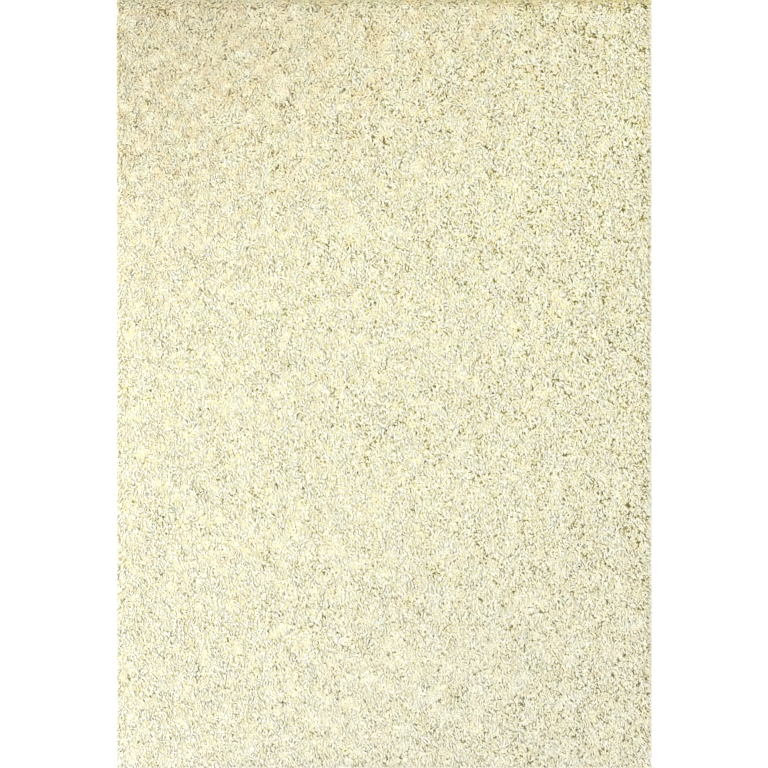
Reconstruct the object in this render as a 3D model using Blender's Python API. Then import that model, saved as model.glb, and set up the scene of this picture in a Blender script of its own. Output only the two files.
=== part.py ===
"""Cream shag rug, 1.60 x 2.30 m, lying flat.

The rug is one solid: a flat-bottomed slab of pile with a lumpy top and a soft, rounded rim.
Round the rim, locks of yarn flop over the edge and come to a point on the floor.

Metres, +Z up. The origin is at the middle of the underside. +Y runs along the length, away
from the end that the pile leans towards.
"""

import math
import random

import bmesh
import bpy
from mathutils import Vector, noise

# Driving dimensions
WIDTH = 1.600  # over the tips of the locks, along X
LENGTH = 2.300  # over the tips of the locks, along Y
LOCK_REACH = 0.018  # how far the longest locks reach past the slab's wall
PILE_HEIGHT = 0.033  # mean height of the pile over the floor, ground cloth included
GRID_PITCH = 0.040  # mean distance between the points of the lumpy top, and between the locks

# Lumps of the pile
LUMPS = (
    # rise, width
    (0.0055, 0.230),
    (0.0070, 0.105),
)
GRID_STRAY = 0.007  # how far a point of the top strays from its place in the grid
GRID_STRAY_LENGTH = 0.029

# The wall's rings, from its shoulder down to the floor
WALL = (
    # inset from the widest line, height as a share of the pile's
    (0.008, 0.76),
    (0.000, 0.38),
    (0.006, 0.00),
)
SHOULDER_WIDTH = 0.065  # band along the rim where the top rolls over to the wall
RIM_WANDER = 0.0025  # how far the wall strays from a straight line
RIM_WANDER_LENGTH = 0.160
CORNER_CUT = 0.010  # how far a corner is drawn in along each side

# Sections of a lock, from near its root in the wall's upper band to where it meets the floor
LOCK_SECTIONS = (
    # share of the reach, height of the underside, height of the top, width
    (0.26, 0.0105, 0.0225, 0.0240),
    (0.60, 0.0000, 0.0120, 0.0165),
)
LOCK_ROOT_MARGIN = 0.0022  # strip of wall left bare above and below a lock's root
LOCK_SPACE = 0.0060  # the same, at each side of the root
LOCK_SHORTEST = 0.55  # reach of the shortest lock, as a share of the longest
LONG_LOCK_EVERY = 7  # one lock in so many reaches all the way to the outline
LOCK_SLIMMEST = 0.70  # width of the slimmest lock, as a share of the widest
LOCK_LEAN = Vector((0.15, -0.45, 0.0))  # how far a tip leans, as shares of the lock's reach
LOCK_TURN = 0.30  # how far a lock turns from its neighbours, as a share of its reach
CORNER_FAN = 0.060  # locks nearer to a corner than this fan out round it

SEED = 11
YARN_COLOUR = (0.80, 0.76, 0.56, 1.0)

# Half sizes of the slab, at the widest line of its wall
HALF_WIDTH = WIDTH / 2 - LOCK_REACH
HALF_LENGTH = LENGTH / 2 - LOCK_REACH


def clear_scene():
    """Removes every object, so that the rug is alone in the scene."""
    for obj in list(bpy.data.objects):
        bpy.data.objects.remove(obj, do_unlink=True)


def yarn_material():
    """Cream yarn: pale, and too fibrous to shine."""
    material = bpy.data.materials.new("cream_yarn")
    material.use_nodes = True
    shader = material.node_tree.nodes["Principled BSDF"]
    shader.inputs["Base Color"].default_value = YARN_COLOUR
    shader.inputs["Roughness"].default_value = 0.95
    shader.inputs["Metallic"].default_value = 0.0
    return material


def lump(x, y):
    """Height of the pile's lumps at a point, above or below its mean height."""
    total = 0.0
    for row, (rise, width) in enumerate(LUMPS):
        total += rise * noise.noise(Vector((x / width, y / width, 3.7 * row)))
    return total


def top_height(x, y):
    """Height of the pile at a point: level in the middle, and rolling over along the rim."""
    shoulder_share = WALL[0][1]
    inward = min(HALF_WIDTH - abs(x), HALF_LENGTH - abs(y))
    roll = math.sin(min(inward / SHOULDER_WIDTH, 1.0) * math.pi / 2)
    return PILE_HEIGHT * (shoulder_share + (1 - shoulder_share) * roll) + lump(x, y)


def sides_at(point):
    """The sides that a rim point lies on: +1, -1 or 0 along X and along Y, both at a corner."""
    near = GRID_PITCH / 2
    x_side = math.copysign(1, point.x) if HALF_WIDTH - abs(point.x) < near else 0
    y_side = math.copysign(1, point.y) if HALF_LENGTH - abs(point.y) < near else 0
    return Vector((x_side, y_side, 0.0))


def rim_inset(point, sides):
    """How far in from the widest line the shoulder lies at a rim point."""
    wander = RIM_WANDER * noise.noise(point / RIM_WANDER_LENGTH)
    corner = CORNER_CUT if sides.x and sides.y else 0.0
    return WALL[0][0] + corner - wander


def grid_top(mesh):
    """The lumpy top, with its rim drawn in to the wall's shoulder. Returns the rim's edges."""
    bmesh.ops.create_grid(
        mesh,
        x_segments=round(2 * HALF_WIDTH / GRID_PITCH),
        y_segments=round(2 * HALF_LENGTH / GRID_PITCH),
        size=1.0,
    )
    bmesh.ops.scale(mesh, vec=(HALF_WIDTH, HALF_LENGTH, 1.0), verts=mesh.verts)
    for vert in mesh.verts:
        sides = sides_at(vert.co) if vert.is_boundary else Vector()
        stray = GRID_STRAY * noise.noise_vector(vert.co / GRID_STRAY_LENGTH)
        if not sides.x:
            vert.co.x += stray.x
        if not sides.y:
            vert.co.y += stray.y
        height = top_height(vert.co.x, vert.co.y)
        vert.co -= sides * rim_inset(vert.co, sides)
        vert.co.z = height
    return [edge for edge in mesh.edges if edge.is_boundary]


def wall_bands(mesh, rim):
    """The wall, a band between each pair of rings. Returns the bands, and the edges at the floor."""
    bands = []
    for (inset_above, _), (inset, share) in zip(WALL, WALL[1:]):
        made = bmesh.ops.extrude_edge_only(mesh, edges=rim)["geom"]
        bands.append([item for item in made if isinstance(item, bmesh.types.BMFace)])
        for vert in {item for item in made if isinstance(item, bmesh.types.BMVert)}:
            vert.co += sides_at(vert.co) * (inset_above - inset)
            vert.co.z = PILE_HEIGHT * share
        rim = [edge for face in bands[-1] for edge in face.edges if edge.is_boundary]
    return bands, rim


class Root:
    """Where a lock leaves the wall: its middle, the way out, and the way along the wall."""

    def __init__(self, face):
        self.middle = face.calc_center_median()
        x_room = HALF_WIDTH - abs(self.middle.x)
        y_room = HALF_LENGTH - abs(self.middle.y)
        if x_room < y_room:
            self.out = Vector((math.copysign(1, self.middle.x), 0.0, 0.0))
        else:
            self.out = Vector((0.0, math.copysign(1, self.middle.y), 0.0))
        self.along = Vector((-self.out.y, self.out.x, 0.0))
        self.from_corner = max(x_room, y_room)
        self.to_outline = LOCK_REACH + min(x_room, y_room)

    def lean(self):
        """How far a tip goes along the wall, as a share of its reach."""
        fan = max(0.0, 1.0 - self.from_corner / CORNER_FAN)
        return LOCK_LEAN.dot(self.along) + math.copysign(fan, self.along.dot(self.middle))

    def place(self, out, along, height):
        """The point this far out of the root and along the wall, at this height."""
        point = self.middle + self.out * out + self.along * along
        return Vector((point.x, point.y, height))


def narrow_root(mesh, face, root):
    """Draws the face in on all sides, so that a strip of the wall stays bare round the root."""
    bmesh.ops.inset_individual(mesh, faces=[face], thickness=LOCK_ROOT_MARGIN, use_even_offset=True)
    for vert in face.verts:
        side = (vert.co - root.middle).dot(root.along)
        vert.co -= root.along * math.copysign(LOCK_SPACE - LOCK_ROOT_MARGIN, side)


def grow_lock(mesh, face, reach_share, width_share, turn):
    """Draws a lock out of a face of the wall, section by section, and ends it in a point."""
    root = Root(face)
    narrow_root(mesh, face, root)
    reach = root.to_outline * reach_share
    slant = root.lean() + turn
    for share, underside, top, width in LOCK_SECTIONS:
        face = bmesh.ops.extrude_discrete_faces(mesh, faces=[face])["faces"][0]
        middle = face.calc_center_median()
        out = reach * share
        for vert in face.verts:
            side = math.copysign(width * width_share / 2, (vert.co - middle).dot(root.along))
            height = top if vert.co.z > middle.z else underside
            vert.co = root.place(out, slant * out + side, height)
    tip = bmesh.ops.extrude_discrete_faces(mesh, faces=[face])["faces"][0]
    bmesh.ops.pointmerge(mesh, verts=tip.verts, merge_co=root.place(reach, slant * reach, 0.0))


def bearing(face):
    """The face's direction from the rug's middle, which numbers the locks round the rim."""
    middle = face.calc_center_median()
    return math.atan2(middle.y, middle.x)


def grow_locks(mesh, band):
    """A lock out of each face of a band of the wall, each with its own length, width and turn."""
    rng = random.Random(SEED)
    for number, face in enumerate(sorted(band, key=bearing)):
        is_long = number % LONG_LOCK_EVERY == 0
        reach_share = 1.0 if is_long else rng.uniform(LOCK_SHORTEST, 1.0)
        width_share = rng.uniform(LOCK_SLIMMEST, 1.0)
        turn = rng.uniform(-LOCK_TURN, LOCK_TURN)
        grow_lock(mesh, face, reach_share, width_share, turn)


def rug_mesh():
    mesh = bmesh.new()
    bands, floor_rim = wall_bands(mesh, grid_top(mesh))
    bmesh.ops.contextual_create(mesh, geom=floor_rim)
    bmesh.ops.recalc_face_normals(mesh, faces=mesh.faces)
    grow_locks(mesh, bands[0])
    bmesh.ops.triangulate(mesh, faces=mesh.faces)
    made = bpy.data.meshes.new("shag_rug")
    mesh.to_mesh(made)
    mesh.free()
    return made


def main():
    clear_scene()
    noise.seed_set(SEED)
    pieces = bpy.data.collections.new("shag_rug")
    bpy.context.scene.collection.children.link(pieces)
    rug = bpy.data.objects.new("shag_rug", rug_mesh())
    pieces.objects.link(rug)
    rug.data.materials.append(yarn_material())


main()
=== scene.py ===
# %% [markdown] # A cream shag rug The rug is a rectangle of ground cloth with thick cream yarn
# standing in it. From above there is nothing to see but yarn: cut ends that lie over one
# another every way, with small dark gaps between them. So it is made here from the yarn that
# shows, strand by strand, over a bed that fills the depth of the pile, on a woven cloth.

import math
from typing import NamedTuple

import bmesh
import bpy
import numpy as np
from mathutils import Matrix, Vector
from mathutils.bvhtree import BVHTree


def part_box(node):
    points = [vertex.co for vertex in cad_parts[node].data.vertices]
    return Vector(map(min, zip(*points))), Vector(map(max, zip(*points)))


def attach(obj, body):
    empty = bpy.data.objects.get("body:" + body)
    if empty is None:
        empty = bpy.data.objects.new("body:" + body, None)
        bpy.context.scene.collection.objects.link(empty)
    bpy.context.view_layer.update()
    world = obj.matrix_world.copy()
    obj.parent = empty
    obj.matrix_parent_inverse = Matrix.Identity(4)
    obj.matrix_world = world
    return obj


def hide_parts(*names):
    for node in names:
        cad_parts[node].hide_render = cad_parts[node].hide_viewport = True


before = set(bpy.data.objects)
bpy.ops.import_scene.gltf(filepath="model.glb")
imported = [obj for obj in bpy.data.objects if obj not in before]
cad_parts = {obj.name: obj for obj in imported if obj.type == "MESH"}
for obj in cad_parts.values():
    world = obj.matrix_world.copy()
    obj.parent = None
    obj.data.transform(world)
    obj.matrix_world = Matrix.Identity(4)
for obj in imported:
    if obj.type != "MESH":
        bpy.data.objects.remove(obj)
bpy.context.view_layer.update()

RUG = "shag_rug"
BODY = "root"
_, (HALF_WIDTH, HALF_LENGTH, HEIGHT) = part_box(RUG)
print(f"rug {2 * HALF_WIDTH:.3f} x {2 * HALF_LENGTH:.3f} m, {HEIGHT * 1000:.0f} mm high")

# %% [markdown]
# ## The yarn and the cloth
# Everything else follows from a few sizes. The cloth stops short of the outline, because the
# strands round its edge flop past it. Below the strands that show is a bed of short pile.

# %% Sizes, in metres
CLOTH_INSET = 0.024  # from the rug's outline to the edge of the cloth
CLOTH_THICKNESS = 0.0026
CLEARANCE = 0.0003  # between pieces that touch
BED_SUNK = 0.0075  # from the top of the pile down to the bed
SEED = 23  # of what is drawn by chance for the strands and their bed

outline = np.array([HALF_WIDTH, HALF_LENGTH])
cloth_half = outline - CLOTH_INSET
print(f"cloth {2 * cloth_half[0]:.3f} x {2 * cloth_half[1]:.3f} m")

# %% [markdown]
# ## The top of the pile
# The rug's solid already has the lumps of the pile. A ray dropped on it gives the height of the
# pile, so the yarn lies on the same lumps. Casting a ray for each strand would do, but reading a
# map once and looking heights up in it is quicker, and works on whole arrays of points.

# %% Height of the pile
MAP_STEP = 0.010
MAP_INSET = 0.042  # from the outline to the map's edge, clear of the solid's rounded corners
LAST_CELL = 1.001  # keeps a point on the map's far edge inside its last cell
ROLL = 0.030  # band along the outline where the pile rolls over, down to the floor
RAYS_FROM = HEIGHT + 1.0  # the height from which the rays are dropped
DOWN = Vector((0.0, 0.0, -1.0))
solid_tree = BVHTree.FromObject(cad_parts[RUG], bpy.context.evaluated_depsgraph_get())


def height_at(x, y):
    """The solid's height at one point."""
    hit, *_ = solid_tree.ray_cast(Vector((x, y, RAYS_FROM)), DOWN)
    return hit.z


def read_heights():
    """The solid's height, as rows along Y of columns along X."""
    columns = np.arange(MAP_INSET - HALF_WIDTH, HALF_WIDTH - MAP_INSET, MAP_STEP)
    rows = np.arange(MAP_INSET - HALF_LENGTH, HALF_LENGTH - MAP_INSET, MAP_STEP)
    return np.array([[height_at(x, y) for x in columns] for y in rows])


heights = read_heights()


def from_outline(x, y):
    """How far inside the rug's outline these points are."""
    return np.minimum(HALF_WIDTH - np.abs(x), HALF_LENGTH - np.abs(y))


def pile_top(x, y):
    """Height of the pile at these points: the solid's lumps, rolled down at the outline."""
    column = np.clip((x + HALF_WIDTH - MAP_INSET) / MAP_STEP, 0, heights.shape[1] - LAST_CELL)
    row = np.clip((y + HALF_LENGTH - MAP_INSET) / MAP_STEP, 0, heights.shape[0] - LAST_CELL)
    j, i = column.astype(int), row.astype(int)
    right, up = column - j, row - i
    near = heights[i, j] * (1 - right) + heights[i, j + 1] * right
    far = heights[i + 1, j] * (1 - right) + heights[i + 1, j + 1] * right
    rolled = 1 - np.clip(from_outline(x, y) / ROLL, 0, 1)
    return (near * (1 - up) + far * up) * np.sqrt(1 - rolled**2)


lowest, highest = heights.min() * 1000, heights.max() * 1000
print(f"height map {heights.shape}, from {lowest:.0f} to {highest:.0f} mm")

# %% [markdown]
# ## Soft, uneven fields
# Yarn in a pile doesn't point at random: neighbours lie the same way in little swirls, because
# they were brushed, trodden and rolled together. A field of a few crossed waves gives numbers
# that change smoothly from place to place. Noise functions give the same, but waves work on
# whole arrays at once.

# %% A smooth field
WAVES = 14  # crossed in one field
WAVE_WIDTHS = (0.75, 1.5)  # narrowest and widest, as shares of the width asked for


def ripples(x, y, width, seed):
    """A smooth field with lumps about this wide, of mean 0 and standard deviation 1."""
    rng = np.random.default_rng(seed)
    total = np.zeros_like(x)
    for _ in range(WAVES):
        heading = rng.uniform(0, 2 * math.pi)
        tightness = 2 * math.pi / (width * rng.uniform(*WAVE_WIDTHS))
        along = x * math.cos(heading) + y * math.sin(heading)
        total += np.cos(tightness * along + rng.uniform(0, 2 * math.pi))
    return total * math.sqrt(2 / WAVES)


SAMPLES = 400  # points in a line, to measure a field
corner_to_corner = np.linspace(-1, 1, SAMPLES)
across, along = HALF_WIDTH * corner_to_corner, HALF_LENGTH * corner_to_corner
sample = ripples(across, along, width=0.050, seed=1)
print(f"ripples from corner to corner: {sample.min():.1f} to {sample.max():.1f}")

# %% [markdown]
# ## Patches
# What differs over a real pile differs at several sizes at once: from hand to hand, from tuft to
# tuft. Ripples of three widths, added up in shares, give patches like that. Each thing that
# differs has a seed of its own, so that its patches lie in places of their own.

# %% Patches of several sizes
PATCHES = (
    # width, share
    (0.110, 0.5),
    (0.045, 0.6),
    (0.018, 0.7),
)
PATCH_SEEDS = {"pale": 31, "warm": 41, "rich": 51, "open": 61}


def patches(x, y, what):
    """Patches of several sizes, of mean 0 and standard deviation 1."""
    total = np.zeros_like(x)
    for number, (width, share) in enumerate(PATCHES):
        total += share * ripples(x, y, width, PATCH_SEEDS[what] + number)
    return total / math.sqrt(sum(share**2 for _, share in PATCHES))


sample = patches(across, along, "pale")
print(f"patches from corner to corner: {sample.min():.1f} to {sample.max():.1f}")

# %% [markdown]
# ## Where the pile is open, and shade is painted deeper
# In some places the yarn stands close, and the pile looks smooth and bright. In others it is
# open, and the eye goes deeper, to ends in shade. The left side of this rug is the closest, and
# the right side and the far left corner are the most open. One field says how open the pile is.
# It doesn't move the strands: the painted shade in the bed's gaps and the yarn's richness follow
# it.

# %% How open the pile is, which sets the painted shade
OPEN_SHADE_ACROSS = (
    # place across the rug, how open
    (-1.0, -0.150),
    (0.4, -0.034),
    (1.0, 0.050),
)
OPEN_SHADE_FAR_LEFT = 0.15  # how much more open the far left corner is
OPEN_SHADE_FAR_FROM = 0.4  # where the far left corner starts, as a share of the half length
OPEN_SHADE_PATCHES = 0.085  # how much more open and closed the pile is in patches


def open_shade(x, y):
    """How open the pile is at these points, which sets the bed's painted shade: below 0 it is
    close, and above 0 it is open.
    """
    right, far = x / HALF_WIDTH, y / HALF_LENGTH
    far_left = np.clip((far - OPEN_SHADE_FAR_FROM) / (1 - OPEN_SHADE_FAR_FROM), 0, 1) * (1 - right) / 2
    across_rug = np.interp(right, *zip(*OPEN_SHADE_ACROSS))
    return across_rug + OPEN_SHADE_FAR_LEFT * far_left + OPEN_SHADE_PATCHES * patches(x, y, "open")


sample = open_shade(across, along)
print(f"openness from corner to corner: {sample.min():.2f} to {sample.max():.2f}")

# %% [markdown]
# ## How the cream drifts, with painted shade
# No two strands are quite alike, and the cream drifts over the rug. The far end is warmer and
# darker than the rest, most of all at its left corner, and there the warmth comes in patches,
# some nearly tan. The near end is whiter. Part of the darkening over the rug is painted shade:
# the paleness falls towards both ends, most at the far one, where the light falls off. The cream
# is richer in darker patches and where the pile is open, and it is darker along the far rim,
# painted shade where the rim rolls away from the light. Each strand gets three numbers here, how
# pale it is, how warm and how rich, and the material turns them into a colour later.

# %% Drift of the cream, with painted shade
OWN = (0.055, 0.09, 0.02)  # how far each strand strays in paleness, warmth and richness
IN_PATCHES = (0.05, 0.21, 0.018)  # how far its patch does
DARKER_WHERE_WARM = 0.35  # how much the patches of paleness follow those of warmth
RICHER_WHERE_DARK = 1.5  # how much the patches of richness follow those of paleness
RICHER_WHERE_OPEN = 0.75  # how much the richness follows how open the pile is
FAR_RIM = 0.022  # band at the far end that rolls away from the light
FAR_RIM_SHADE = 1.1  # how much less pale the yarn is at the outline there
SLANT = 0.38  # how much further along the rug its left side seems to be
ALONG_RUG = (
    # place along the rug, pale (lower where shade is painted), warm, rich, strength of the warm
    # patches
    (-1.0, 0.40, 0.47, 0.75, 0.7),
    (-0.4, 0.57, 0.42, 1.00, 0.7),
    (0.4, 0.60, 0.43, 1.10, 0.8),
    (0.8, 0.42, 0.58, 0.95, 1.3),
    (1.2, 0.12, 0.78, 0.75, 1.6),
)


def along_rug(x, y):
    """The table above, read at these points."""
    places, *table = zip(*ALONG_RUG)
    place = y / HALF_LENGTH - SLANT * x / HALF_WIDTH
    return [np.interp(place, places, column) for column in table]


def warm_patches(x, y):
    """How much warmer than their surroundings these points are."""
    return patches(x, y, "warm") * along_rug(x, y)[-1]


def cream_at(x, y, rng):
    """How pale, warm and rich the cream is at these points, with painted shade in the paleness.
    """
    pale, warm, rich, _ = along_rug(x, y)
    pale = pale - FAR_RIM_SHADE * np.clip(1 - (HALF_LENGTH - y) / FAR_RIM, 0, 1)
    rich = rich + RICHER_WHERE_OPEN * open_shade(x, y)
    warmth = warm_patches(x, y)
    paleness = patches(x, y, "pale") - DARKER_WHERE_WARM * warmth
    richness = patches(x, y, "rich") - RICHER_WHERE_DARK * paleness
    fields = [paleness, warmth, richness]
    own = rng.normal(0, 1, (3, len(x)))
    parts = zip((pale, warm, rich), IN_PATCHES, fields, OWN, own)
    return [mean + patch * field + stray * one for mean, patch, field, stray, one in parts]


for end in (-HALF_LENGTH, 0.0, HALF_LENGTH):
    cream = cream_at(across, np.full_like(across, end), np.random.default_rng(SEED))
    pale, warm, rich = (value.mean() for value in cream)
    print(f"at y {end:+.2f}: pale {pale:.2f}, warm {warm:.2f}, rich {rich:.2f}")

# %% [markdown]
# ## Two layers of strands
# Strands that lie on top are seen whole. Those under them are seen in pieces through the gaps, so
# they can be plainer: a ring of points fewer each, and a little thicker and longer to fill more.
# Both are given in one table. A strand's places along its line are a share of how far it lies
# over, and how far that place sinks below the strand's own depth.


# %% Layers
class Layer(NamedTuple):
    """One layer of the pile; lengths are in metres."""

    strips: int
    pitch: float  # one strand to a square of this side
    thickness: float
    lie: tuple  # shortest and longest, from a strand's root to its tip, seen from above
    depth: tuple  # of a strand's middle below the top of the pile, highest and lowest
    places: tuple  # (share of the lie, sunk by) for the root, the rings and the tip
    ring_sizes: tuple  # thickness at each ring, as a share
    swirls: tuple  # seeds of the two fields that turn neighbours together


LAYERS = {
    "upper_pile": Layer(
        strips=3,
        pitch=0.0094,
        thickness=0.0049,
        lie=(0.010, 0.022),
        depth=(0.0015, 0.0070),
        places=((0.00, 0.0130), (0.32, 0.0), (0.84, 0.0006), (1.00, 0.0018)),
        ring_sizes=(1.0, 0.88),
        swirls=(5, 6),
    ),
    "lower_pile": Layer(
        strips=2,
        pitch=0.0078,
        thickness=0.0068,
        lie=(0.016, 0.028),
        depth=(0.0050, 0.0090),
        places=((0.00, 0.0090), (0.42, 0.0), (1.00, 0.0025)),
        ring_sizes=(1.0,),
        swirls=(7, 8),
    ),
}
for name, layer in LAYERS.items():
    print(f"{name}: yarn {layer.thickness * 1000:.1f} mm thick, in {layer.strips} strips")

# %% [markdown]
# ## Rooting the yarn
# A machine sets the yarn in close rows, and by the time it is cut and fluffed the rows are gone.
# A grid of roots with each one pushed off its place keeps the cover even with no visible rows.
# Then a pair of smooth fields crowds neighbours together, as tufts do, and opens gaps between.
# A root here is where a strand leaves the bed, so the roots go on past the edge of the cloth,
# where the pile has rolled over it. A few closer rows there make the edge full.

# %% Roots
PUSH = 0.55  # how far a root may be off its place, as a share of the pitch
EDGE_PUSH = 0.50  # the same, in the rows at the edge
CROWDING = 0.0024  # how far neighbours are moved together
CROWD_WIDTH = 0.026  # across one crowd
CROWD_SEEDS = (71, 72)
ROOT_INSET = 0.007  # from the outline to the outermost roots
EDGE_ROWS = (
    # inset from the outline, pitch along it
    (0.0070, 0.0057),
    (0.0120, 0.0070),
    (0.0180, 0.0090),
)


def field_roots(pitch, rng):
    """A root in each square of the field, off its middle."""
    across, along = (np.arange(-half, half, pitch) + pitch / 2 for half in outline - ROOT_INSET)
    grid = np.stack(np.meshgrid(across, along), axis=2).reshape(-1, 2)
    return grid + rng.uniform(-PUSH, PUSH, grid.shape) * pitch


def edge_roots(rng):
    """Rows of roots along the four sides."""
    sides = []
    for inset, pitch in EDGE_ROWS:
        half = outline - inset
        for axis in (0, 1):
            run = np.arange(-half[axis], half[axis], pitch)
            for side in (-1, 1):
                row = np.empty((len(run), 2))
                row[:, axis] = run
                row[:, 1 - axis] = side * half[1 - axis]
                sides.append(row + rng.uniform(-EDGE_PUSH, EDGE_PUSH, row.shape) * pitch)
    return np.concatenate(sides)


def roots_of(name, rng):
    """The roots of a layer. The upper one has the rows round the edge as well."""
    roots = field_roots(LAYERS[name].pitch, rng)
    if name == "upper_pile":
        roots = np.concatenate([roots, edge_roots(rng)])
    x, y = roots.T
    crowd = np.stack([ripples(x, y, CROWD_WIDTH, seed) for seed in CROWD_SEEDS], axis=1)
    roots = roots + CROWDING * crowd
    return np.clip(roots, ROOT_INSET - outline, outline - ROOT_INSET)


roots = {}
for number, name in enumerate(LAYERS):
    roots[name] = roots_of(name, np.random.default_rng(SEED + number))
    print(f"{name}: {len(roots[name])} strands")

# %% [markdown]
# ## Which way each strand lies
# Three things turn a strand: the lean of the whole pile towards the near end, a swirl that it
# shares with its neighbours, and its own will. Near the edge a fourth one joins them: there is
# nothing to lean on there, so the strand flops outwards. Their sum is its heading.

# %% Headings
LEAN = np.array([0.22, -1.0])  # the way the whole pile leans
LEAN_NEAR, LEAN_FAR = 1.30, 0.85  # how strongly, at the near end and at the far end
SWIRL = 0.40  # how strongly neighbours turn together
SWIRL_WIDTH = 0.050
OWN_WILL = 0.65  # how strongly each strand turns by itself
EDGE_PULL = 2.2  # how strongly a strand at the very edge flops outwards
EDGE_BAND = 0.034  # from the outline


def headings(layer, points, rng):
    """Unit vectors, the way that each strand lies."""
    x, y = points.T
    share = (y + HALF_LENGTH) / (2 * HALF_LENGTH)
    lean = LEAN * (LEAN_NEAR + (LEAN_FAR - LEAN_NEAR) * share)[:, None]
    swirl = SWIRL * np.stack([ripples(x, y, SWIRL_WIDTH, seed) for seed in layer.swirls], axis=1)
    angle = rng.uniform(0, 2 * math.pi, len(x))
    own = OWN_WILL * np.stack([np.cos(angle), np.sin(angle)], axis=1)
    room = np.clip((outline - np.abs(points)) / EDGE_BAND, 0, 1)
    outwards = EDGE_PULL * np.sign(points) * (1 - room)
    total = lean + swirl + own + outwards
    return total / np.linalg.norm(total, axis=1, keepdims=True)


sample = headings(LAYERS["upper_pile"], roots["upper_pile"], np.random.default_rng(SEED))
mean_heading = sample.mean(axis=0)
print(f"mean heading ({mean_heading[0]:.2f}, {mean_heading[1]:.2f})")

# %% [markdown]
# ## The line of each strand
# A strand comes up out of the bed, bends over and lies on its neighbours. A few points give that
# line, from its root to its tip. They are worked out for all strands together, as one array.

# %% Strand lines
TO_CORNER = 0.58  # from a strand's middle to its corners, as a share of its thickness
UNEVEN = 0.10  # how much strands differ in thickness
THINNER_WHERE_WARM = 0.04
THICKNESS_RANGE = (0.7, 1.3)  # as shares of the layer's thickness
CURL = 0.0020  # how far the middle of a strand strays sideways
RAGGED = 0.0016  # how far short of the outline the strands at the edge may end
END_ROOM = 0.25  # how much shorter a ring's middle stops, as a share of the strand's thickness


def thicknesses(layer, points, rng):
    """Yarn is never even, and where it is thinner the pile is more open."""
    thinner = THINNER_WHERE_WARM * warm_patches(*points.T)
    shares = rng.normal(1.0, UNEVEN, len(points)) - thinner
    return layer.thickness * shares.clip(*THICKNESS_RANGE)


def strand_lines(layer, points, thickness, rng):
    """The places of each strand, as an array of strands, places and x, y, z.

    A ring's middle keeps room for its corners above the floor, and stops short of the outline.
    """
    count = len(points)
    heading = headings(layer, points, rng)
    lie = rng.uniform(*layer.lie, (count, 1)) * heading
    sideways = rng.normal(0, CURL, (count, 1)) * np.stack([-heading[:, 1], heading[:, 0]], axis=1)
    limit = outline - rng.uniform(0, 1, (count, 1)) ** 2 * RAGGED
    depth = rng.uniform(*layer.depth, count)
    lines = np.empty((count, len(layer.places), 3))
    last = len(layer.places) - 1
    for number, (share, sunk) in enumerate(layer.places):
        is_ring = 0 < number < last
        strayed = points + lie * share + sideways * math.sin(share * math.pi)
        reach = limit - CLEARANCE - is_ring * END_ROOM * thickness[:, None]
        flat = np.clip(strayed, -reach, reach)
        lowest = CLEARANCE + is_ring * TO_CORNER * thickness
        lines[:, number, :2] = flat
        lines[:, number, 2] = np.maximum(pile_top(*flat.T) - depth - sunk, lowest)
    return lines


FEW = 1000  # strands, to measure
upper = LAYERS["upper_pile"]
few = roots["upper_pile"][:FEW]
rng = np.random.default_rng(SEED)
thickness = thicknesses(upper, few, rng)
sample = strand_lines(upper, few, thickness, rng)
lengths = np.linalg.norm(np.diff(sample, axis=1), axis=2).sum(axis=1) * 1000
print(f"upper strands: {lengths.min():.0f} to {lengths.max():.0f} mm from root to tip")

# %% [markdown]
# ## From lines to yarn
# Each line becomes a three-sided strand: one point for its root, a ring of three points at each
# place between, and one point for the tip. A curve with a bevel would make the same shape, but
# tens of thousands of splines are slow, and arrays build a whole strip of strands at once. The
# rings stand square to the line, each strand's turned its own way.

# %% Points of the strands
SIDES = 3
SMALL = 1e-9  # keeps a length from being 0


def strand_points(layer, lines, thickness, turn):
    """The points of each strand: its root, its rings and its tip, none outside the outline."""
    along = lines[:, 2:] - lines[:, :-2]
    along /= np.linalg.norm(along, axis=2, keepdims=True)
    side = np.cross([0.0, 0.0, 1.0], along)
    side /= np.linalg.norm(side, axis=2, keepdims=True) + SMALL
    up = np.cross(along, side)
    size = TO_CORNER * thickness[:, None, None] * np.array(layer.ring_sizes)[:, None]
    corners = []
    for corner in range(SIDES):
        angle = (turn + corner * 2 * math.pi / SIDES)[:, None, None]
        corners.append(lines[:, 1:-1] + size * (np.cos(angle) * side + np.sin(angle) * up))
    rings = np.stack(corners, axis=2).reshape(len(lines), -1, 3)
    rings[:, :, :2] = np.clip(rings[:, :, :2], CLEARANCE - outline, outline - CLEARANCE)
    return np.concatenate([lines[:, :1], rings, lines[:, -1:]], axis=1)


turn = rng.uniform(0, 2 * math.pi, len(sample))
sample = strand_points(upper, sample, thickness, turn)
print(f"{sample.shape[1]} points to an upper strand")

# %% [markdown]
# ## One strand's triangles
# All strands of a layer are joined up in the same way, so that is worked out for one, and
# repeated. Each strand also gets a small cell of the strip's UV map to itself: u goes round the
# strand and v along it.


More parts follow.
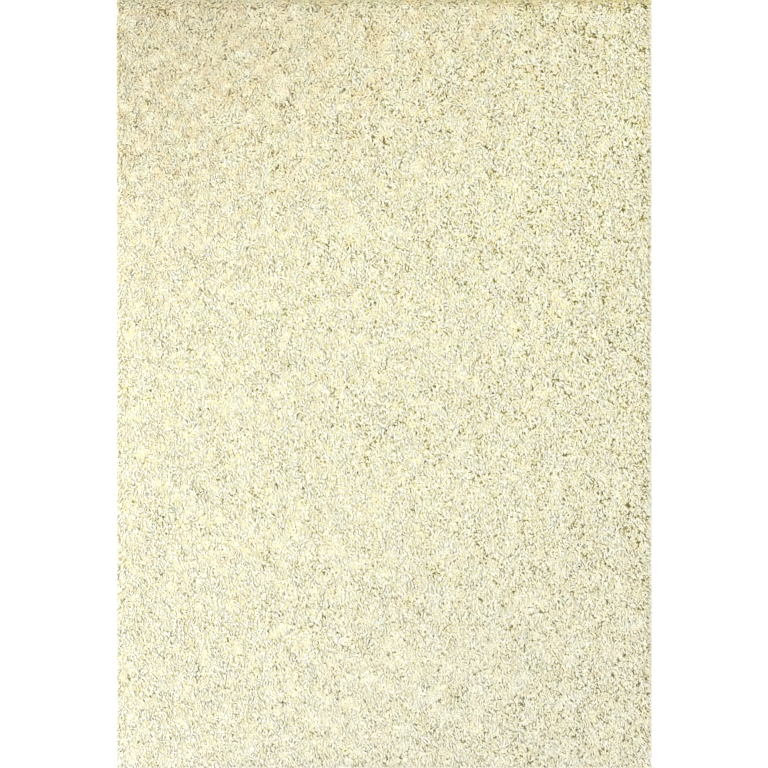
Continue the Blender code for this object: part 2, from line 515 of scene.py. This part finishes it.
# %% Triangles of one strand
def strand_template(layer):
    """One strand's triangles: the three points of each, and the (u, v) of each of those."""
    rings = [share for share, _ in layer.places[1:-1]]
    tip = SIDES * len(rings) + 1
    triangles = []
    for corner in range(SIDES):
        after = (corner + 1) % SIDES
        u, v = corner / SIDES, (corner + 1) / SIDES
        triangles.append(((0, 1 + after, 1 + corner), ((0.5, 0.0), (v, rings[0]), (u, rings[0]))))
        for number, (start, end) in enumerate(zip(rings, rings[1:])):
            a, b = 1 + SIDES * number + corner, 1 + SIDES * number + after
            triangles.append(((a, b, b + SIDES), ((u, start), (v, start), (v, end))))
            triangles.append(((a, b + SIDES, a + SIDES), ((u, start), (v, end), (u, end))))
        a, b = tip - SIDES + corner, tip - SIDES + after
        triangles.append(((a, b, tip), ((u, rings[-1]), (v, rings[-1]), (0.5, 1.0))))
    points, uvs = zip(*triangles)
    return np.array(points), np.array(uvs)


for name, layer in LAYERS.items():
    print(f"{name}: {len(strand_template(layer)[0])} triangles to a strand")

# %% [markdown]
# ## Filling a mesh from arrays
# Blender's meshes can be filled point by point, or all at once from an array, which is many
# times quicker. A value for each point can be kept in the mesh too, under a name, and a material
# can read it there.


# %% Meshes from arrays
def mesh_from(name, points, corners):
    """A smooth mesh of triangles: its points, and the three points of each triangle in turn."""
    mesh = bpy.data.meshes.new(name)
    mesh.vertices.add(len(points))
    mesh.vertices.foreach_set("co", points.astype(np.float32).ravel())
    mesh.loops.add(len(corners))
    mesh.loops.foreach_set("vertex_index", corners.astype(np.int32))
    mesh.polygons.add(len(corners) // 3)
    mesh.polygons.foreach_set("loop_start", np.arange(0, len(corners), 3, dtype=np.int32))
    mesh.update(calc_edges=True)
    mesh.shade_smooth()
    return mesh


def name_values(mesh, **values):
    """Keeps a value for each point of a mesh under a name, for its material."""
    for name, value in values.items():
        kept = mesh.attributes.new(name, "FLOAT", "POINT")
        kept.data.foreach_set("value", value.astype(np.float32))


print("values kept in the yarn: pale, warm, rich, along")

# %% [markdown]
# ## A mesh of many strands
# Now a strip of strands is one call: the points, the triangles repeated, the UV cells, and four
# values: how pale, warm and rich each strand is, and how far along it each point is.

# %% Yarn meshes
CELL_MARGIN = 0.06  # of a strand's cell of the UV map, left empty on each side


def yarn_mesh(name, layer, lines, thickness, rng):
    """One mesh of many strands."""
    count = len(lines)
    points = strand_points(layer, lines, thickness, rng.uniform(0, 2 * math.pi, count))
    each = points.shape[1]
    triangles, uvs = strand_template(layer)
    strand = np.arange(count)[:, None, None]
    mesh = mesh_from(name, points.reshape(-1, 3), (triangles[None] + each * strand).ravel())
    cells = math.ceil(math.sqrt(count))
    inside = CELL_MARGIN + (1 - 2 * CELL_MARGIN) * uvs.reshape(1, -1, 2)
    uv = (np.concatenate([strand % cells, strand // cells], axis=2) + inside) / cells
    mesh.uv_layers.new(name="OFBake").data.foreach_set("uv", uv.astype(np.float32).ravel())
    shares = [share for share, _ in layer.places]
    along = np.tile(np.repeat(shares, [1, *[SIDES] * (len(shares) - 2), 1]), count)
    cream = cream_at(lines[:, 0, 0], lines[:, 0, 1], rng)
    pale, warm, rich = (np.repeat(value, each) for value in cream)
    name_values(mesh, pale=pale, warm=warm, rich=rich, along=along)
    return mesh


print(f"a strand's cell is {1 - 2 * CELL_MARGIN:.0%} full")

# %% [markdown]
# ## Strips of pile
# One mesh of all the strands would be heavy to handle, so each layer is made in strips that run
# the length of the rug, as a loom's warps do.


# %% Pile strips
def show(mesh, name):
    """Puts a mesh in the scene as an object."""
    piece = bpy.data.objects.new(name, mesh)
    bpy.context.scene.collection.objects.link(piece)
    return piece


def pile_strips(name, rng):
    """A layer's strands, shared out by where their roots are across the rug."""
    layer, points = LAYERS[name], roots[name]
    thickness = thicknesses(layer, points, rng)
    lines = strand_lines(layer, points, thickness, rng)
    order = np.argsort(points[:, 0], kind="stable")
    strips = []
    for number, chosen in enumerate(np.array_split(order, layer.strips), start=1):
        strip = f"{name}_{number}"
        mesh = yarn_mesh(strip, layer, lines[chosen], thickness[chosen], rng)
        strips.append(show(mesh, strip))
        print(f"{strip}: {len(chosen)} strands, {len(mesh.polygons)} triangles")
    return strips


YARN_SEED = SEED + 10
strips = []
for number, name in enumerate(LAYERS):
    strips += pile_strips(name, np.random.default_rng(YARN_SEED + number))

# %% [markdown]
# ## The bed of the pile
# Between the strands that show, the eye meets the ends of deeper ones, in shade. They would cost
# as much to model as the rest and hardly be seen, so a closed, lumpy bed stands for them, just
# under the strands. It starts as a grid at the pile's height, less the depth of the strands.

# %% Top of the bed
BED_PITCH = 0.016
BED_ROUGHNESS = 0.0016  # how far its points stray up and down
BED_INSET = 0.0055  # from the outline to the bed's widest line
BED_SEED = SEED + 3


def bed_top(mesh):
    """A lumpy grid, as far out as the bed goes."""
    half = outline - BED_INSET
    cells = np.round(2 * half / BED_PITCH).astype(int)
    bmesh.ops.create_grid(mesh, x_segments=int(cells[0]), y_segments=int(cells[1]), size=1.0)
    bmesh.ops.scale(mesh, vec=(half[0], half[1], 1.0), verts=mesh.verts)
    flat = np.array([vert.co for vert in mesh.verts])
    uneven = np.random.default_rng(BED_SEED).normal(0, BED_ROUGHNESS, len(flat))
    tops = pile_top(flat[:, 0], flat[:, 1]) - BED_SUNK + uneven
    for vert, height in zip(mesh.verts, tops):
        vert.co.z = max(height, CLOTH_THICKNESS + 2 * CLEARANCE)


bed_form = bmesh.new()
bed_top(bed_form)
print(f"top of the bed: {len(bed_form.verts)} points")

# %% [markdown]
# ## The rim of the bed
# At its rim the bed goes down to the floor, in under the rug to the edge of the cloth, and up on
# to it, band by band. Then it is closed below, so that it is a solid body of yarn.

# %% Rim of the bed
BED_RIM = (
    # inset from the outline, height
    (0.0070, 0.0004),
    (CLOTH_INSET - CLEARANCE, 0.0004),
    (CLOTH_INSET - CLEARANCE, CLOTH_THICKNESS + CLEARANCE),
)
RIM_REACH = CLOTH_INSET + 0.002  # a point nearer to the outline than this belongs to a side


def extrude_rim(mesh, inset, height):
    """A band from the rim to a new one, this far in from the outline and at this height."""
    rim = [edge for edge in mesh.edges if edge.is_boundary]
    made = bmesh.ops.extrude_edge_only(mesh, edges=rim)["geom"]
    half = outline - inset
    for vert in (item for item in made if isinstance(item, bmesh.types.BMVert)):
        at_side = outline - np.abs(vert.co.xy) < RIM_REACH
        for axis in (0, 1):
            if at_side[axis]:
                vert.co[axis] = math.copysign(half[axis], vert.co[axis])
        vert.co.z = height


def close_below(mesh):
    """Fills the hole in the bottom, and leaves only triangles."""
    bmesh.ops.contextual_create(mesh, geom=[edge for edge in mesh.edges if edge.is_boundary])
    bmesh.ops.recalc_face_normals(mesh, faces=mesh.faces)
    bmesh.ops.triangulate(mesh, faces=mesh.faces)


for inset, height in BED_RIM:
    extrude_rim(bed_form, inset, height)
close_below(bed_form)
print(f"bed with its rim: {len(bed_form.faces)} triangles")

# %% [markdown]
# ## Values for the bed's finish
# The bed's colour drifts with the yarn's, and the painted shade in its gaps is darker where the
# pile is open, so its points keep how warm, rich and open the pile is there.

# %% Bed piece
BED_CREAM_SEED = SEED + 4
bed_shape = bpy.data.meshes.new("pile_bed")
bed_form.to_mesh(bed_shape)
bed_form.free()
bed_shape.shade_smooth()
x, y, _ = np.array([vert.co for vert in bed_shape.vertices]).T
_, warm, rich = cream_at(x, y, np.random.default_rng(BED_CREAM_SEED))
# open: how wide the painted shade in the bed's gaps is there
name_values(bed_shape, warm=warm, rich=rich, open=open_shade(x, y))
bed = show(bed_shape, "pile_bed")
total = sum(len(piece.data.polygons) for piece in [*strips, bed])
print(f"pile bed: {len(bed_shape.polygons)} triangles, and {total} in the whole pile")

# %% [markdown]
# ## The ground cloth
# The cloth that holds the yarn shows only when the rug is turned over. It is a thin flat sheet,
# woven plainly, with the rug's whole shape but for the yarn that hangs over its edge.

# %% Ground cloth
CLOTH_CELLS = (24, 34)


def cloth_mesh():
    """The cloth's underside, flat on the floor."""
    mesh = bmesh.new()
    bmesh.ops.create_grid(mesh, x_segments=CLOTH_CELLS[0], y_segments=CLOTH_CELLS[1], size=1.0)
    bmesh.ops.scale(mesh, vec=(cloth_half[0], cloth_half[1], 1.0), verts=mesh.verts)
    made = bpy.data.meshes.new("ground_cloth")
    mesh.to_mesh(made)
    mesh.free()
    return made


cloth = show(cloth_mesh(), "ground_cloth")
thick = cloth.modifiers.new("thickness", "SOLIDIFY")
thick.thickness = CLOTH_THICKNESS
thick.offset = 1.0
print(f"ground cloth: {len(cloth.data.polygons)} faces, {CLOTH_THICKNESS * 1000:.1f} mm thick")

# %% [markdown]
# ## Shader maths in Python
# A material's pattern is a sum of small nodes. Wrapped in a class with Python's operators, a
# socket can be written as part of an expression, and the Math nodes follow by themselves. Each
# operator has its reflected form too, so that 1 - mask works as well as mask - 1.


# %% Wires
class Wire:
    """An output socket of a material, to be used in Python expressions."""

    def __init__(self, tree, socket=None):
        self.tree = tree
        self.socket = socket

    def node(self, kind, settings=None, sockets=None, out=0):
        """A new node: its settings first, then the values or wires of its sockets."""
        made = self.tree.nodes.new(kind)
        for name, value in (settings or {}).items():
            if name == "stops":
                set_stops(made.color_ramp, value)
            else:
                setattr(made, name, value)
        for name, value in (sockets or {}).items():
            if isinstance(value, Wire):
                self.tree.links.new(value.socket, made.inputs[name])
            else:
                made.inputs[name].default_value = value
        return Wire(self.tree, made.outputs[out])

    def maths(self, operation, *values):
        return self.node("ShaderNodeMath", {"operation": operation}, dict(enumerate(values)))

    def __add__(self, other):
        return self.maths("ADD", self, other)

    __radd__ = __add__

    def __sub__(self, other):
        return self.maths("SUBTRACT", self, other)

    def __rsub__(self, other):
        return self.maths("SUBTRACT", other, self)

    def __mul__(self, other):
        return self.maths("MULTIPLY", self, other)

    __rmul__ = __mul__

    def ramp(self, *stops):
        """This value turned into a colour, between stops of (place, colour)."""
        return self.node("ShaderNodeValToRGB", {"stops": stops}, {"Fac": self})

    def blend(self, first, second, factor):
        """A colour between two. The Mix node's sockets for colours go by number."""
        sockets = {0: factor, 6: first, 7: second}
        return self.node("ShaderNodeMix", {"data_type": "RGBA"}, sockets, out=2)

    def enrich(self, saturation):
        """This colour with its saturation multiplied."""
        sockets = {"Saturation": saturation, "Color": self}
        return self.node("ShaderNodeHueSaturation", sockets=sockets)

    def attribute(self, name):
        """A value that the mesh keeps under this name."""
        return self.node("ShaderNodeAttribute", {"attribute_name": name}, out="Fac")


def set_stops(ramp, stops):
    """Sets a ramp's stops, and keeps the two that it starts with for the first and the last."""
    for _ in stops[2:]:
        ramp.elements.new(0.5)
    for element, (place, colour) in zip(ramp.elements, stops):
        element.position = place
        element.color = (*colour, 1.0)


print("operators of a wire:", ", ".join(name for name in vars(Wire) if name.startswith("__r")))

# %% [markdown]
# ## Starting a finish
# Every finish here starts in the same way: a new material with its Principled shader, whose
# plain numbers are set on its own sockets. Patterns are worked out where the piece is in space,
# so they don't stretch.

# %% Finishes
NOISE_MEAN = 0.5


def finish_of(name, **constants):
    """A new Principled material: (material, its shader, a wire to start expressions from)."""
    material = bpy.data.materials.new(name)
    material.use_nodes = True
    shader = material.node_tree.nodes["Principled BSDF"]
    for socket, value in constants.items():
        shader.inputs[socket.replace("_", " ")].default_value = value
    return material, shader, Wire(material.node_tree)


def plug(shader, socket, wire):
    """Links a wire to one of the shader's sockets."""
    wire.tree.links.new(wire.socket, shader.inputs[socket])


def place_of(start):
    """Where a point of the piece is, in metres."""
    return start.node("ShaderNodeTexCoord", out="Object")


def bumped(shader, wire, strength, distance):
    """Raises the surface where the wire is high."""
    sockets = {"Strength": strength, "Distance": distance, "Height": wire}
    plug(shader, "Normal", wire.node("ShaderNodeBump", sockets=sockets))


print("a finish starts as Base Color, Roughness and the shader's other plain numbers")

# %% [markdown]
# ## Cream yarn
# How pale, warm and rich each strand is comes from its mesh, and so does the place along it.
# There are two ramps of cream, a warm one that goes from tan to ivory and a cool one that goes
# from straw to nearly white. The strand's paleness, which holds painted shade as well, goes
# through both, its warmth blends the two, and its richness is the saturation. A strand is darker
# towards its root, where less light reaches it.

# %% Yarn material
WARM_CREAM = (
    (0.0, (0.75, 0.625, 0.32)),
    (0.3, (0.87, 0.778, 0.525)),
    (0.6, (0.925, 0.865, 0.71)),
    (1.0, (0.935, 0.89, 0.755)),
)
COOL_CREAM = (
    (0.0, (0.66, 0.665, 0.365)),
    (0.3, (0.80, 0.80, 0.565)),
    (0.6, (0.87, 0.88, 0.735)),
    (1.0, (0.90, 0.91, 0.785)),
)
FIBRE_SCALE = 420.0  # to the metre, so fibres are about 2 mm long
FIBRE_DEPTH = 0.001  # in metres, as the other depths are
UNEVEN_DYE = 0.2  # how much fibres differ in paleness
ROOT_LIGHT = 0.2  # the share of light that reaches a root
LIT_FROM = 0.4  # how far along a strand all light reaches it


def yarn_finish():
    """Cream yarn, from each strand's own values."""
    finish = finish_of("cream_yarn", Roughness=0.9, Sheen_Weight=0.15, Sheen_Roughness=0.6)
    material, shader, start = finish
    sockets = {"Vector": place_of(start), "Scale": FIBRE_SCALE, "Detail": 2.0}
    fibres = start.node("ShaderNodeTexNoise", sockets=sockets)
    reached = start.attribute("along") * ((1 - ROOT_LIGHT) / LIT_FROM) + ROOT_LIGHT
    lit = start.node("ShaderNodeClamp", sockets={"Value": reached})
    # pale holds painted shade towards the rug's ends and along its far rim, as well as the yarn's
    # own paleness
    paleness = (start.attribute("pale") + (fibres - NOISE_MEAN) * UNEVEN_DYE) * lit
    cool, warm = paleness.ramp(*COOL_CREAM), paleness.ramp(*WARM_CREAM)
    cream = start.blend(cool, warm, start.attribute("warm"))
    plug(shader, "Base Color", cream.enrich(start.attribute("rich")))
    bumped(shader, fibres, strength=0.25, distance=FIBRE_DEPTH)
    return material


yarn = yarn_finish()
for strip in strips:
    strip.data.materials.append(yarn)
print(f"{yarn.name}: {len(yarn.node_tree.nodes)} nodes on {len(strips)} strips")

# %% [markdown]
# ## The bed's finish
# Deep in the pile the eye meets cut ends of yarn, each a small round lump with shade round it,
# painted here as a dark gap. A Voronoi pattern gives such ends: its value grows from the middle
# of each. Adding how open the pile is makes the painted shade in the gaps wider there, and a soft
# noise makes it come in bunches. The colour drifts with the yarn's, from brown to olive.

# %% Bed material
# Each ramp goes from the ends' own colour to the painted shade in the gaps round them.
WARM_ENDS_AND_SHADE = (
    (0.46, (0.82, 0.75, 0.46)),
    (0.82, (0.185, 0.12, 0.02)),
)
COOL_ENDS_AND_SHADE = (
    (0.46, (0.79, 0.79, 0.53)),
    (0.82, (0.14, 0.14, 0.037)),
)
END_SCALE = 165.0  # to the metre, so ends are about 6 mm apart
END_DEPTH = 0.004
BUNCH_SCALE = 45.0  # to the metre
GAP_SHADE_BUNCHING = 0.47  # how much wider and narrower the painted shade in the gaps becomes from bunch to bunch


def bed_finish():
    """Cut ends with painted shade in the gaps between them."""
    material, shader, start = finish_of("deep_pile", Roughness=0.95, Sheen_Weight=0.1)
    place = place_of(start)
    ends = start.node("ShaderNodeTexVoronoi", sockets={"Vector": place, "Scale": END_SCALE})
    sockets = {"Vector": place, "Scale": BUNCH_SCALE, "Detail": 1.0}
    bunches = start.node("ShaderNodeTexNoise", sockets=sockets)
    # painted shade round the cut ends, wider where the pile is open and from bunch to bunch
    gap_shade = ends + start.attribute("open") + (bunches - NOISE_MEAN) * GAP_SHADE_BUNCHING
    cool, warm = gap_shade.ramp(*COOL_ENDS_AND_SHADE), gap_shade.ramp(*WARM_ENDS_AND_SHADE)
    colour = start.blend(cool, warm, start.attribute("warm"))
    plug(shader, "Base Color", colour.enrich(start.attribute("rich")))
    bumped(shader, 1 - ends, strength=0.9, distance=END_DEPTH)
    return material


bed.data.materials.append(bed_finish())
print(f"{bed.active_material.name}: {len(bed.active_material.node_tree.nodes)} nodes")

# %% [markdown]
# ## The cloth's finish
# A plain weave: threads one way pass over and under threads the other way. Two waves crossed give
# it, and the colour is that of undyed thread, with painted shade where the weave dips.

# %% Cloth material
THREAD_PITCH = 0.0042  # in metres
THREAD_DEPTH = 0.001
THREAD_PALE = (0.66, 0.61, 0.49)
THREAD_SHADE = (0.40, 0.35, 0.26)


def cloth_finish():
    """Plainly woven, undyed thread, with painted shade in the dips."""
    material, shader, start = finish_of("woven_ground", Roughness=0.85, Sheen_Weight=0.1)
    place = place_of(start)
    tightness = math.pi / THREAD_PITCH
    waves = []
    for axis in (0, 1):
        value = start.node("ShaderNodeSeparateXYZ", sockets={"Vector": place}, out=axis)
        waves.append(start.maths("SINE", value * tightness))
    weave = waves[0] * waves[1]
    out_of_shade = weave * 0.5 + 0.5  # from 0 to 1, where the weave goes from -1 to 1; the dips at 0 get the painted shade
    plug(shader, "Base Color", out_of_shade.ramp((0.0, THREAD_SHADE), (1.0, THREAD_PALE)))
    bumped(shader, weave, strength=0.6, distance=THREAD_DEPTH)
    return material


cloth.data.materials.append(cloth_finish())
print(f"{cloth.active_material.name}: {1 / THREAD_PITCH:.0f} threads to the metre")

# %% [markdown]
# ## The floor
# The rug lies on a plain pale floor, nearly white, as in a studio.

# %% Floor
FLOOR_SIDE = 80.0
FLOOR_GREY = (0.95, 0.95, 0.95, 1.0)


def floor_plane():
    """A flat square under everything."""
    mesh = bmesh.new()
    bmesh.ops.create_grid(mesh, x_segments=1, y_segments=1, size=FLOOR_SIDE / 2)
    made = bpy.data.meshes.new("floor")
    mesh.to_mesh(made)
    mesh.free()
    material, _, _ = finish_of("pale_floor", Base_Color=FLOOR_GREY, Roughness=0.7)
    made.materials.append(material)
    return show(made, "floor")


floor_plane()
print(f"floor {FLOOR_SIDE:.0f} m square")

# %% [markdown]
# ## Light
# The light in the photograph is soft and nearly even, a little stronger from the left. A bright
# world gives the even part. One broad lamp adds the rest: it stands high and well to the left,
# so that it fades only slightly from one side of the rug to the other.

# %% Lights
LAMP_PLACE = Vector((-5.0, -0.9, 5.0))
LAMP_SIZE = 1.9  # its side, in metres
LAMP_POWER = 110.0  # in watts
WORLD_STRENGTH = 1.25


def studio_lamp():
    """A square lamp that points at the middle of the rug."""
    light = bpy.data.lights.new("lamp", "AREA")
    light.size = LAMP_SIZE
    light.energy = LAMP_POWER
    lamp = bpy.data.objects.new("lamp", light)
    lamp.location = LAMP_PLACE
    lamp.rotation_euler = (-LAMP_PLACE).to_track_quat("-Z", "Y").to_euler()
    bpy.context.scene.collection.objects.link(lamp)
    return lamp


def studio_world():
    """A plain white surrounding."""
    world = bpy.data.worlds.new("studio")
    world.use_nodes = True
    background = world.node_tree.nodes["Background"]
    background.inputs["Color"].default_value = (1.0, 1.0, 1.0, 1.0)
    background.inputs["Strength"].default_value = WORLD_STRENGTH
    return world


lamp = studio_lamp()
bpy.context.scene.world = studio_world()
print(f"lamp {lamp.location.length:.1f} m from the rug, world at {WORLD_STRENGTH}")

# %% [markdown]
# ## Camera
# The photograph looks straight down from far off, and the rug's length just fills its height. A
# long lens from far away sees even the strands at the two ends nearly from straight above.

# %% Camera
LENS = 90.0  # in millimetres
SENSOR = 36.0  # its width, in millimetres
IN_VIEW = 0.997  # the share of the rug's length that fills the picture's height
MIDDLE_OF_PILE = 0.012  # the height at which it does


def overhead_camera():
    """A camera straight over the rug's middle."""
    camera = bpy.data.cameras.new("overhead")
    camera.lens = LENS
    camera.sensor_width = SENSOR
    stand = bpy.data.objects.new("overhead", camera)
    distance = IN_VIEW * 2 * HALF_LENGTH * LENS / SENSOR
    stand.location = (0.0, 0.0, MIDDLE_OF_PILE + distance)
    bpy.context.scene.collection.objects.link(stand)
    bpy.context.scene.camera = stand
    return stand


camera = overhead_camera()
bpy.context.scene.view_settings.view_transform = "Standard"
print(f"camera {camera.location.z:.2f} m above the floor")

# %% [markdown]
# ## Hand the pieces over
# Every piece rides on the rug's one body, and together they stand for the rug's solid.

# %% Hand over
pile = [*strips, bed]
for piece in pile:
    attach(piece, BODY)
    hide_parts(RUG)
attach(cloth, BODY)
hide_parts(RUG)
